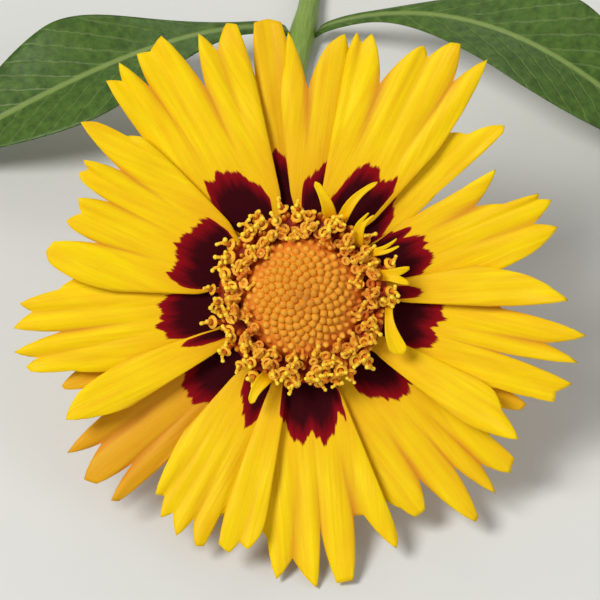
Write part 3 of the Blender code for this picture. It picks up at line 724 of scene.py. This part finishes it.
# %% Material: closed florets
def bud_material():
    material, shader = new_material("closed_floret_tissue", {
        "Roughness": 0.55, "IOR": 1.42, "Specular IOR Level": 0.22})
    _, height, outer, tone = read_pattern(shader)
    rim_tip = tint(shader, "#dc7426", "#fcc444", tone)
    tip = tint(shader, "#da9028", "#e4a034", tone)
    tip = tint(shader, tip, rim_tip, outer, 0.66, 0.88)
    tip = tint(shader, tip, "#ba6a2c", outer, 0.36, 0, 0.8)
    rim_chink = tint(shader, "#c8541e", "#f0942c", tone)
    chink = tint(shader, "#e89e28", rim_chink, outer, 0.66, 0.88)
    fill(shader, {"Base Color": tint(shader, chink, tip, height, 0.35, 0.95)})
    return material


print("buds on the disc:", build_buds(bud_material()))

# %% [markdown]
# Among the open florets of this head a few have grown into small yellow straps, as if they had tried to
# become rays. Each is a short curled tongue, set down by its root and its tip. Some are forked. Their table
# comes before the ring, because no floret may push through a strap.

# %% The small straps' measures
# Each strap: root bearing and reach, tip bearing and reach, root width, tip width, rise, fork, side bend.
STRAPS = (
    (69.5, 8.6, 84, 12.2, 1.3, 0.7, 2.4, 0, 0.2),
    (63.5, 8.5, 57.3, 14.4, 1.1, 0.5, 1.8, 0, -0.6),
    (42.5, 7.8, 50.5, 11.6, 1.2, 0.7, 2.6, 0.35, -0.7),
    (36.5, 8, 30.5, 11.8, 0.8, 0.9, 2.4, 0.5, 0.4),
    (17.5, 8, 11.5, 11.6, 1.1, 1.9, 1.9, 0.35, 0),
    (-2, 9, -30, 11.9, 0.8, 1.8, 1.3, 0, 0.5),
    (246.4, 8.7, 243.5, 12.3, 1.4, 0.8, 1.9, 0, 0.3),
)
STRAP_MARGIN = 0.35


def strap_middle(strap, share):
    """A point of a small strap's middle line, and the direction across the strap."""
    root_bearing, root_reach, tip_bearing, tip_reach, _, _, rise, _, bow = strap
    root = polar(root_reach, root_bearing, RING_TOP - 0.2)
    tip = polar(tip_reach, tip_bearing, RING_TOP + rise)
    across = (tip - root).cross(Vector((0, 0, 1))).normalized()
    return root.lerp(tip, share) + across * bow * sin(pi * share), across


def meets_strap(head):
    """Whether a floret's head would push through one of the small straps."""
    for strap in STRAPS:
        clear = max(strap[4], strap[5]) / 2 + STRAP_MARGIN
        if any((head - strap_middle(strap, step / 10)[0]).to_2d().length < clear for step in range(3, 11)):
            return True
    return False


print("small straps:", len(STRAPS))

# %% [markdown]
# Round the buds stands the ring of open florets, in four rows on one low collar. The rows lean out more
# and more, and every floret is drawn a little off its place, because they crowd one another. Short late
# florets, hardly more than buds, fill the gaps between the rows.

# %% Build the ring of open florets
RING_INNER = DISC_RADIUS + 0.2
RING_OUTER = 8.9
# Each row: how many, foot reach, head reach, head height, mouth radius, how far open, how orange, how much
# the heads stray.
FLORET_ROWS = (
    (38, 7.05, 6.5, 5.4, 0.50, 0.45, 1, 1.5),
    (37, 7.4, 7.5, 5.7, 0.60, 0.8, 0.7, 1.1),
    (34, 7.8, 8.5, 5.4, 0.66, 1, 0.2, 1.1),
    (30, 8.3, 9.4, 4.9, 0.66, 1, 0, 1.3),
)
# The late florets: how many, and how far out they stand.
LATE_FLORETS = 130
LATE_REACH = (6.9, 8.8)


def build_open_florets(material):
    """The collar, the rows of open florets on it and the late ones. Returns how many are open."""
    shape, _ = new_shape()
    profile = ((RING_INNER, DISC_BASE), (RING_OUTER - 0.5, DISC_BASE), (RING_OUTER, DISC_BASE + 0.4),
               (RING_OUTER - 0.4, RING_TOP), (RING_INNER, RING_TOP))
    # the collar takes the floret ramp's lowest colour, the painted shade of the feet
    spin_profile(shape, profile, 48)
    draw = random.Random(5).uniform
    built = 0
    for row, ring_row in enumerate(FLORET_ROWS):
        count, foot_reach, head_reach, head_height, mouth, openness, warmth, stray = ring_row
        for index in range(count):
            bearing = 360 * (index + 0.5 * row + draw(-0.35, 0.35)) / count
            drift = draw(-0.4, 0.5) * stray
            foot = polar(foot_reach, bearing, RING_TOP - 0.4)
            head = polar(head_reach + drift, bearing + draw(-4, 4),
                         head_height + draw(-0.6, 0.4))
            if not meets_strap(head):
                add_open_floret(shape, foot, head, mouth * draw(0.85, 1.15), openness, warmth, draw)
                built += 1
    for index in range(LATE_FLORETS):
        reach = draw(*LATE_REACH)
        bearing = degrees(index * GOLDEN_ANGLE)
        out = polar(0.45, bearing, 1).normalized()
        place = stand(polar(reach, bearing, RING_TOP - 0.2), out, draw(0, tau))
        add_bud(shape, place, draw(0.34, 0.46), draw(0.6, 1.3), 0, draw(0.5, 1))
    add_piece("ring_of_open_florets", shape, material,
              replaces=("disc_open_florets",), smooth_angle=50)
    return built


# %% [markdown]
# Open florets: the trumpet turns from rust red at its foot through orange to a clear yellow at the lobes.
# The dark rust red at the foot is painted shade, for the shade it stands in among its neighbours. Tips of
# the styles are a paler, powdery yellow, because pollen covers them.

# %% Material: open florets
# the low, rust-red end of this ramp is painted shade at the florets' feet
FLORET_COLOURS_WITH_PAINTED_SHADE = ((0, "#962c14"), (0.30, "#bc401a"), (0.66, "#d87224"), (0.86, "#f0b024"), (1, "#ffde3c"))


def floret_material():
    material, shader = new_material("open_floret_tissue", {
        "Roughness": 0.55, "IOR": 1.42, "Specular IOR Level": 0.3})
    _, along, _, tone = read_pattern(shader)
    ramp = add_node(shader, "ValToRGB", {"Fac": along})
    stops = ramp.node.color_ramp.elements
    while len(stops) < len(FLORET_COLOURS_WITH_PAINTED_SHADE):
        stops.new(0.5)
    for stop, (position, colour) in zip(stops, FLORET_COLOURS_WITH_PAINTED_SHADE):
        stop.position = position
        stop.color = linear(colour)
    warm = add_node(shader, "Math", {0: tone, 1: 2}, operation="POWER")
    fill(shader, {"Base Color": tint(shader, ramp, "#d86420", warm, 0, 1, 0.8)})
    return material


print("open florets:", build_open_florets(floret_material()), "and late ones:", LATE_FLORETS)

# %% [markdown]
# Now the straps themselves. Each is a sheet along its middle line, hollowed a little across, arched, and
# drawn in at its tip or split there by a fork. They are of the same tissue as the rays.

# %% Build the small straps
STRAP_ROWS = 16
STRAP_COLUMNS = 9
STRAP_THICKNESS = 0.3


def build_strap(number, strap, material, underside):
    root_width, tip_width, fork = strap[4], strap[5], strap[7]

    def place(_, side, share):
        share *= 1 - fork * (1 - abs(side)) ** 1.5 - 0.08 * side ** 4
        wide = root_width + (tip_width - root_width) * smooth_step(0.2, 0.9, share)
        wide *= sqrt(max(0.03, 1 - smooth_step(0.8, 1.03, share) ** 2)) if fork == 0 else 1
        centre, across = strap_middle(strap, share)
        centre.z += sin(pi * share ** 0.7) + 0.30 * (side * side - 0.4) * wide
        return centre + across * side * wide / 2, (side * wide, 10.5 + 10 * share, 0)

    shape = new_sheet(STRAP_COLUMNS, STRAP_ROWS, place)
    # the straps get no painted shade, but the petal material reads the layer
    shape.verts.layers.float.new("painted_shade")
    add_piece(f"strap_{number}", shape, material, thickness=STRAP_THICKNESS,
              underside=underside)


for number, strap in enumerate(STRAPS, start=1):
    build_strap(number, strap, petal, petal_back)
print("straps built:", len(STRAPS))

# %% [markdown]
# Behind the head sits the cup: the receptacle with eight broad inner bracts, which hug it and run out in
# points under the rays. The cup itself is a profile spun round the axis, and the bracts are sheets that
# follow the same profile a little further out, each overlapping the next like roof tiles.

# %% Build the cup and its inner bracts
CUP_BOTTOM = -7.6
CUP_LOBES = 8
CUP_OUTSIDE = ((12, -0.50), (10.2, -0.60), (8.9, -1.15), (7.7, -2.3), (6.2, -4.2), (4.3, -5.9),
               (2.4, -7), (1.6, CUP_BOTTOM))
INNER_BRACT_ROWS = 22
INNER_BRACT_COLUMNS = 13
INNER_BRACT_WIDTH = 4.6
INNER_BRACT_THICKNESS = 0.35


def along_profile(profile, share):
    """A point part of the way along a profile, from its last corner to its first."""
    place = (1 - share) * (len(profile) - 1)
    index = min(int(place), len(profile) - 2)
    part = place - index
    low, high = profile[index], profile[index + 1]
    return low[0] + (high[0] - low[0]) * part, low[1] + (high[1] - low[1]) * part


def build_cup(material):
    shape, _ = new_shape()
    profile = [(0, CORE_TOP), (CORE_RADIUS, CORE_TOP), (CORE_RADIUS, -GAP), (8.6, -GAP - 0.1),
               *CUP_OUTSIDE[2:], (0, CUP_BOTTOM)]
    spin_profile(shape, profile, 64)
    add_piece("cup_body", shape, material, replaces=("receptacle_cup",))


def build_inner_bract(number, material):
    bearing = 360 * (number + 0.5) / CUP_LOBES
    tuck = 0.28 * (number % 2)

    def place(_, side, share):
        reach, height = along_profile(CUP_OUTSIDE, share)
        wide = INNER_BRACT_WIDTH * sin(pi * min(1, 0.18 + 0.82 * share) ** 0.9) ** 0.7
        wide = max(0.12, wide * (1 - smooth_step(0.90, 1, share) * 0.75))
        half_angle = degrees(min(wide / max(reach, 1), pi / 5))
        off = 0.24 + tuck * (1 - share) + 0.22 * side * side * smooth_step(0.5, 1, share)
        spot = polar(reach, bearing + side * half_angle, height)
        outwards = polar(0.75, bearing + side * half_angle, -0.66) * off
        return spot + outwards * (1 - share ** 3), (side, share, number / CUP_LOBES)

    shape = new_sheet(INNER_BRACT_COLUMNS, INNER_BRACT_ROWS, place)
    add_piece(f"inner_bract_{number + 1}", shape, material, thickness=INNER_BRACT_THICKNESS)


# %% [markdown]
# Inner bracts: tougher than a petal and half dry. They are yellow green with a brown papery edge and a few
# long veins, and they shine a little where they curve.

# %% Material: inner bracts
BRACT_RELIEF = 0.12


def inner_bract_material():
    material, shader = new_material("papery_bract", {"Roughness": 0.45, "IOR": 1.45})
    pattern, side, share, _ = read_pattern(shader)
    off_middle = add_node(shader, "Math", {0: side}, operation="ABSOLUTE")
    veins = drawn_out_noise(shader, pattern, (9, 0.8, 3))
    green = tint(shader, "#6d8a35", "#a9a43c", share)
    green = tint(shader, green, "#8c9440", veins)
    colour = tint(shader, green, "#8a5a26", off_middle, 0.62, 0.98)
    bump = add_node(shader, "Bump", {"Height": veins, "Strength": 0.5, "Distance": BRACT_RELIEF * MM})
    fill(shader, {"Base Color": colour, "Normal": bump})
    return material


bract_tissue = inner_bract_material()
build_cup(bract_tissue)
for number in range(CUP_LOBES):
    build_inner_bract(number, bract_tissue)
print("inner bracts:", CUP_LOBES)

# %% [markdown]
# The outer bracts are eight narrow green tongues on a collar round the top of the stem. They spread below
# the cup like the legs of a stool. Green parts of the plant share one leaf material, so it comes first.

# %% Material: leaf tissue
LEAF_VEIN_PITCH = 3.4
VEIN_SWEEP = 1.7
VEIN_WOBBLE = 1.6
LEAF_RELIEF = 0.14


def leaf_material(name, dark, light, rib):
    """Waxy green skin: a pale rib down the middle, side veins that sweep forward, and mottled green."""
    material, shader = new_material(name, {"Roughness": 0.42, "IOR": 1.45, "Specular IOR Level": 0.35})
    pattern, across, along, _ = read_pattern(shader)
    off_rib = add_node(shader, "Math", {0: across}, operation="ABSOLUTE")
    swept = add_node(shader, "Math", {0: off_rib, 1: -VEIN_SWEEP, 2: along}, operation="MULTIPLY_ADD")
    wobble = add_node(shader, "TexNoise", {"Vector": pattern, "Scale": 0.5, "Detail": 2})
    swept = add_node(shader, "Math", {0: wobble, 1: VEIN_WOBBLE, 2: swept}, operation="MULTIPLY_ADD")
    off_vein = add_node(shader, "Math", {0: swept, 1: LEAF_VEIN_PITCH / 2}, operation="PINGPONG")
    vein_line, rib_line = [
        add_node(shader, "MapRange", {"Value": value, "From Min": low, "From Max": high},
                 interpolation_type="SMOOTHSTEP")
        for value, low, high in ((off_vein, 0.35, 0), (off_rib, 0.55, 0.15))]
    mottle = add_node(shader, "TexNoise", {"Vector": pattern, "Scale": 0.9, "Detail": 5, "Roughness": 0.6})
    green = tint(shader, dark, light, mottle, 0.3, 0.7)
    green = tint(shader, green, rib, vein_line, 0, 1, 0.22)
    green = tint(shader, green, rib, rib_line, 0, 1, 0.7)
    lines = add_node(shader, "Math", {0: vein_line, 1: rib_line}, operation="MAXIMUM")
    relief = add_node(shader, "Math", {0: lines, 1: -1, 2: mottle}, operation="MULTIPLY_ADD")
    bump = add_node(shader, "Bump", {"Height": relief, "Strength": 0.5, "Distance": LEAF_RELIEF * MM})
    fill(shader, {"Base Color": green, "Normal": bump})
    return material


leaf_skin = leaf_material("leaf_blade_skin", "#354f1a", "#54722a", "#8a9e54")
stem_skin = leaf_material("stem_skin", "#6d8a3a", "#8fa650", "#a6b45c")
print("leaf and stem materials are ready")

# %% Build the outer bracts
BRACTS = 8
BRACT_PATH = ((1.9, -8.35), (4.4, -7.7), (6.6, -6), (8.4, -3.9), (9.9, -2.7), (11, -2.4))
BRACT_COLLAR = ((1.5, -8.8), (2.6, -8.8), (2.9, -8.4), (2.6, -7.95), (1.5, -7.95))
BRACT_ROWS = 20
BRACT_COLUMNS = 7
BRACT_WIDTH = 2.2
BRACT_THICKNESS = 0.4


def smooth_path(path, share):
    """A point on a smooth curve through a path's corners."""
    place = share * (len(path) - 1)
    index = min(int(place), len(path) - 2)
    part = place - index
    before, low = path[max(0, index - 1)], path[index]
    high, after = path[index + 1], path[min(len(path) - 1, index + 2)]
    mixed = []
    for a, b, c, d in zip(before, low, high, after):
        curve = 2 * a - 5 * b + 4 * c - d + part * (3 * (b - c) + d - a)
        mixed.append(b + 0.5 * part * (c - a + part * curve))
    return mixed


def build_outer_bracts(material):
    shape, _ = new_shape()
    spin_profile(shape, BRACT_COLLAR, 40)
    add_piece("bract_collar", shape, material, replaces=("outer_bracts",))
    for number in range(BRACTS):
        bearing = 22.5 + number * 360 / BRACTS

        def place(_, side, share):
            reach, height = smooth_path(BRACT_PATH, share)
            belly = 0.55 + 0.5 * sin(pi * share ** 0.8)
            wide = BRACT_WIDTH / 2 * belly * (1 - share ** 4) + 0.1
            fold = 0.24 * wide * abs(side) ** 1.5
            spot = polar(reach, bearing, height + fold) + polar(side * wide, bearing - 90, 0)
            return spot, (side * wide * 1.6, share * 12, wide)

        sheet = new_sheet(BRACT_COLUMNS, BRACT_ROWS, place)
        add_piece(f"outer_bract_{number + 1}", sheet, material, thickness=BRACT_THICKNESS)


build_outer_bracts(leaf_skin)
print("outer bracts:", BRACTS)

# %% [markdown]
# The stem leaves the cup along the head's axis, bends down and lies on the surface. It starts as a plain
# cylinder that is cut into many short lengths. Each ring of points is then carried to its place on the
# path, with eight low ribs round it and a swelling at the node.

# %% Build the stem
STEM_RADIUS = 1.2
STEM_TOP_RADIUS = 1.05
STEM_BEND = 22
STEM_END = 88
STEM_SWAY = 1.6
NODE_AT = 54
NODE_SWELL = 0.35
STEM_CUTS = 110
STEM_SIDES = 32
STEM_RIBS = 8
RIB_DEPTH = 0.05
UP = radians(FACE_ELEVATION)


def node_swell(y):
    """How much thicker the stem is beside the node."""
    return NODE_SWELL * exp(-((y - HEAD_Y - NODE_AT) / 3) ** 2)


def stem_path():
    """The solid stem's middle line, with a few more points in the bend and the run."""
    below = GAP - CUP_BOTTOM
    top = Vector((0, HEAD_Y + below * cos(UP), HEAD_HEIGHT - below * sin(UP)))
    straight = (top.z - STEM_RADIUS - STEM_BEND * (1 - cos(UP))) / sin(UP)
    down = Vector((0, cos(UP), -sin(UP)))
    points = [top, top + down * straight * 0.5]
    start = top + down * straight
    for index in range(9):
        turned = UP * index / 8
        along = STEM_BEND * (sin(UP) - sin(UP - turned))
        fall = STEM_BEND * (cos(UP - turned) - cos(UP))
        points.append(start + Vector((0, along, -fall)))
    lying_from = points[-1].y
    run_end = HEAD_Y + STEM_END
    for index in range(1, 25):
        y = lying_from + (run_end - lying_from) * index / 24
        sway = STEM_SWAY * sin(pi * index / 24) ** 2
        bend = sin(tau * (y - HEAD_Y - NODE_AT) / (run_end - lying_from))
        points.append(Vector((sway * bend, y, STEM_RADIUS + node_swell(y))))
    return points


def point_along(points, share):
    """A place and a direction part of the way along the path, by its length."""
    lengths = [(b - a).length for a, b in zip(points, points[1:])]
    goal = share * sum(lengths)
    for start, end, length in zip(points, points[1:], lengths):
        if goal <= length or end is points[-1]:
            return start.lerp(end, min(1, goal / length)), (end - start).normalized()
        goal -= length


def build_stem(material):
    shape, pattern = new_shape()
    bmesh.ops.create_cone(shape, cap_ends=True, segments=STEM_SIDES, radius1=1, radius2=1, depth=1)
    lengthwise = [edge for edge in shape.edges if abs(edge.verts[0].co.z - edge.verts[1].co.z) > 0.5]
    bmesh.ops.subdivide_edges(shape, edges=lengthwise, cuts=STEM_CUTS, use_grid_fill=True)
    points = stem_path()
    length = sum((b - a).length for a, b in zip(points, points[1:]))
    thin = STEM_TOP_RADIUS / STEM_RADIUS
    right = Vector((1, 0, 0))
    for vertex in shape.verts:
        share = 0.5 - vertex.co.z
        centre, along = point_along(points, share)
        upwards = right.cross(along).normalized()
        around = atan2(vertex.co.y, vertex.co.x)
        radius = STEM_RADIUS * (thin + (1 - thin) * smooth_step(0, 0.5, share)) + node_swell(centre.y)
        centre.z = max(centre.z, radius)
        radius -= RIB_DEPTH * (1 - cos(STEM_RIBS * around)) / 2
        reach = hypot(vertex.co.x, vertex.co.y)
        vertex.co = centre + (right * cos(around) + upwards * sin(around)) * radius * reach
        vertex[pattern] = (3 + cos(STEM_RIBS * around), share * length * 0.35, around)
    bmesh.ops.recalc_face_normals(shape, faces=shape.faces)
    add_piece("stem_skin", shape, material, FLAT, ("stem",))


build_stem(stem_skin)
print("stem rings:", STEM_CUTS + 2)

# %% [markdown]
# A pair of leaves sits at the node. Each is a lance-shaped sheet on a short stalk. It is folded up along
# its rib, arches from the node, and touches the surface with its tip, while its edges wave slowly.

# %% Build the leaves
LEAF_WIDTH = 13.4
LEAF_THICKNESS = 0.42
LEAF_ROOT_HEIGHT = 1.6
LEAF_TIP_HEIGHT = 0.3
LEAF_COLUMNS = 25
LEAF_ROWS = 84
# Each leaf: name, side, place of its tip from the head's foot, how high it arches, how far it bends
# sideways, and where its wave starts.
LEAVES = (
    ("leaf_right", 1, (47, 29.5), 8.6, 3.2, 0),
    ("leaf_left", -1, (47, 32), 7.6, -1.8, 1.3),
)


def build_leaf(leaf, material):
    name, side, (tip_x, tip_y), arch, bow, phase = leaf
    root = Vector((side * (STEM_RADIUS + NODE_SWELL + GAP), HEAD_Y + NODE_AT, LEAF_ROOT_HEIGHT))
    tip = Vector((side * tip_x, HEAD_Y + tip_y, LEAF_TIP_HEIGHT))
    flat = Vector((tip.x - root.x, tip.y - root.y, 0))
    sideways = Vector((-flat.y, flat.x, 0)).normalized() * side

    def place(_, edge, share):
        across = edge * -side
        wide = smooth_step(0.10, 0.56, share) * (1 - smooth_step(0.50, 1, share) ** 1.25)
        half = 1.1 * (1 - share) + LEAF_WIDTH / 2 * wide + 0.25 * share
        centre = root.lerp(tip, share)
        centre.z += arch * sin(pi * share ** 0.8)
        centre += sideways * bow * sin(pi * share)
        fold = 0.26 * half * abs(across) ** 1.4 * wide
        wave = 0.5 * wide * across * abs(across) * sin(11 * share + phase + 1.2 * (across > 0))
        spot = centre + sideways * half * across + Vector((0, 0, fold + wave))
        return spot, (half * across, share * flat.length, half)

    shape = new_sheet(LEAF_COLUMNS, LEAF_ROWS, place)
    add_piece("blade_" + name, shape, material, FLAT, (name,), LEAF_THICKNESS)


for leaf in LEAVES:
    build_leaf(leaf, leaf_skin)
print("leaves:", [leaf[0] for leaf in LEAVES])
